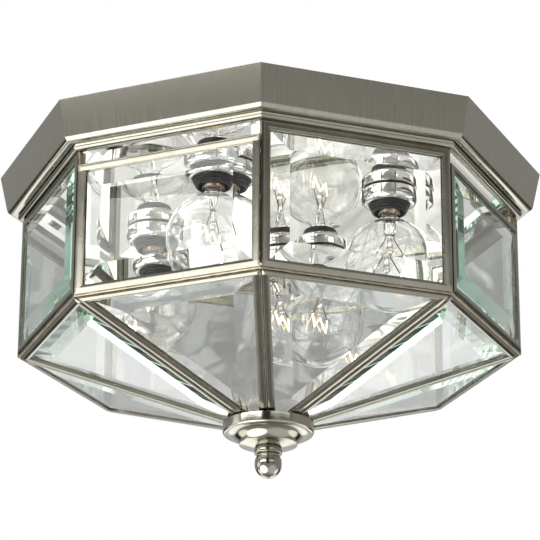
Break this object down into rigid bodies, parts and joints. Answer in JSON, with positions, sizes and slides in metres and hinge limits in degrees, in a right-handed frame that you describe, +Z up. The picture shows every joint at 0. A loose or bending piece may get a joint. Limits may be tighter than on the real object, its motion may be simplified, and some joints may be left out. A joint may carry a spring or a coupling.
{
  "type": "flush mount ceiling light",
  "caption": "Octagonal flush mount ceiling light: brushed metal canopy, bevelled clear glass cage with a tapered bottom, turned cap and finial, and clear globe bulbs inside.",
  "frame": {"origin": "centre of the light on the ceiling plane, midway between the crossbar's two screw slots", "axes": "+Z up into the ceiling, -Y towards the octagon corner that faces the viewer, X along the crossbar"},
  "size_m": [0.316, 0.316, 0.1833],
  "materials": {
    "brushed_nickel": "fine brushed satin",
    "polished_nickel": "satin, nearly polished",
    "reflector": "mirror bright",
    "chrome_cup": "polished",
    "black_plastic": "matt moulded",
    "ivory_plastic": "matt moulded",
    "brass_contact": "stamped",
    "green_screw": "passivated",
    "zinc_steel": "zinc plated",
    "black_lead": "smooth insulation",
    "white_lead": "smooth insulation",
    "solder": "hand soldered, uneven",
    "bevelled_glass": "clear, polished bevels",
    "bulb_glass": "clear",
    "bulb_base": "stamped, slightly coppery",
    "filament": "glowing tungsten"
  },
  "bodies": {
    "ceiling_body": {"canopy": "brushed_nickel", "reflector_plate": "reflector", "mounting_crossbar": "zinc_steel", "ground_screw": "green_screw", "center_rod": "zinc_steel", "rod_nuts": "zinc_steel", "plate_washer": "zinc_steel", "socket_washers": "black_plastic", "socket_cups": "chrome_cup", "socket_bodies": "black_plastic", "socket_shells": "brass_contact", "socket_contacts": "brass_contact", "socket_nuts": "zinc_steel", "hot_leads": "black_lead", "neutral_leads": "white_lead", "splice_caps": "ivory_plastic"},
    "shade": {"top_collar": "brushed_nickel", "upper_pane_1": "bevelled_glass", "upper_pane_2": "bevelled_glass", "upper_pane_3": "bevelled_glass", "upper_pane_4": "bevelled_glass", "upper_pane_5": "bevelled_glass", "upper_pane_6": "bevelled_glass", "upper_pane_7": "bevelled_glass", "upper_pane_8": "bevelled_glass", "lower_pane_1": "bevelled_glass", "lower_pane_2": "bevelled_glass", "lower_pane_3": "bevelled_glass", "lower_pane_4": "bevelled_glass", "lower_pane_5": "bevelled_glass", "lower_pane_6": "bevelled_glass", "lower_pane_7": "bevelled_glass", "lower_pane_8": "bevelled_glass", "tall_frames": "brushed_nickel", "vented_frames": "brushed_nickel", "lower_frames": "brushed_nickel", "corner_solder": "solder", "rib_solder": "solder", "waist_bead": "solder", "bottom_hub": "brushed_nickel", "bottom_cap": "polished_nickel"},
    "finial_washer": {"finial_washer": "brushed_nickel"},
    "finial": {"finial": "polished_nickel"},
    "bulb_1_contact": {"bulb_1_contact": "solder"},
    "bulb_1": {"bulb_1_glass": "bulb_glass", "bulb_1_base": "bulb_base", "bulb_1_filament": "filament"},
    "bulb_2_contact": {"bulb_2_contact": "solder"},
    "bulb_2": {"bulb_2_glass": "bulb_glass", "bulb_2_base": "bulb_base", "bulb_2_filament": "filament"},
    "bulb_3_contact": {"bulb_3_contact": "solder"},
    "bulb_3": {"bulb_3_glass": "bulb_glass", "bulb_3_base": "bulb_base", "bulb_3_filament": "filament"},
    "bulb_4_contact": {"bulb_4_contact": "solder"},
    "bulb_4": {"bulb_4_glass": "bulb_glass", "bulb_4_base": "bulb_base", "bulb_4_filament": "filament"}
  },
  "joints": [
    {"name": "shade_lower", "type": "slide", "parent": "ceiling_body", "child": "shade", "axis": [0, 0, -1], "range_m": [0, 0.12]},
    {"name": "finial_drop", "type": "slide", "parent": "shade", "child": "finial_washer", "axis": [0, 0, -1], "range_m": [0, 0.00945]},
    {"name": "finial_turn", "type": "hinge", "parent": "finial_washer", "child": "finial", "pos_m": [0, 0, -0.17], "axis": [0, 0, -1], "range_deg": [0, 3600]},
    {"name": "bulb_1_drop", "type": "slide", "parent": "ceiling_body", "child": "bulb_1_contact", "axis": [0, 0, -1], "range_m": [0, 0.01275]},
    {"name": "bulb_1_turn", "type": "hinge", "parent": "bulb_1_contact", "child": "bulb_1", "pos_m": [-0.02847, -0.06874, -0.02], "axis": [0, 0, -1], "range_deg": [0, 1800]},
    {"name": "bulb_2_drop", "type": "slide", "parent": "ceiling_body", "child": "bulb_2_contact", "axis": [0, 0, -1], "range_m": [0, 0.01275]},
    {"name": "bulb_2_turn", "type": "hinge", "parent": "bulb_2_contact", "child": "bulb_2", "pos_m": [0.06874, -0.02847, -0.02], "axis": [0, 0, -1], "range_deg": [0, 1800]},
    {"name": "bulb_3_drop", "type": "slide", "parent": "ceiling_body", "child": "bulb_3_contact", "axis": [0, 0, -1], "range_m": [0, 0.01275]},
    {"name": "bulb_3_turn", "type": "hinge", "parent": "bulb_3_contact", "child": "bulb_3", "pos_m": [0.02847, 0.06874, -0.02], "axis": [0, 0, -1], "range_deg": [0, 1800]},
    {"name": "bulb_4_drop", "type": "slide", "parent": "ceiling_body", "child": "bulb_4_contact", "axis": [0, 0, -1], "range_m": [0, 0.01275]},
    {"name": "bulb_4_turn", "type": "hinge", "parent": "bulb_4_contact", "child": "bulb_4", "pos_m": [-0.06874, 0.02847, -0.02], "axis": [0, 0, -1], "range_deg": [0, 1800]}
  ],
  "couplings": [
    {"joint": "finial_drop", "follows": "finial_turn", "m_per_rad": 0.00014972},
    {"joint": "bulb_1_drop", "follows": "bulb_1_turn", "m_per_rad": 0.00040425},
    {"joint": "bulb_2_drop", "follows": "bulb_2_turn", "m_per_rad": 0.00040425},
    {"joint": "bulb_3_drop", "follows": "bulb_3_turn", "m_per_rad": 0.00040425},
    {"joint": "bulb_4_drop", "follows": "bulb_4_turn", "m_per_rad": 0.00040425}
  ]
}
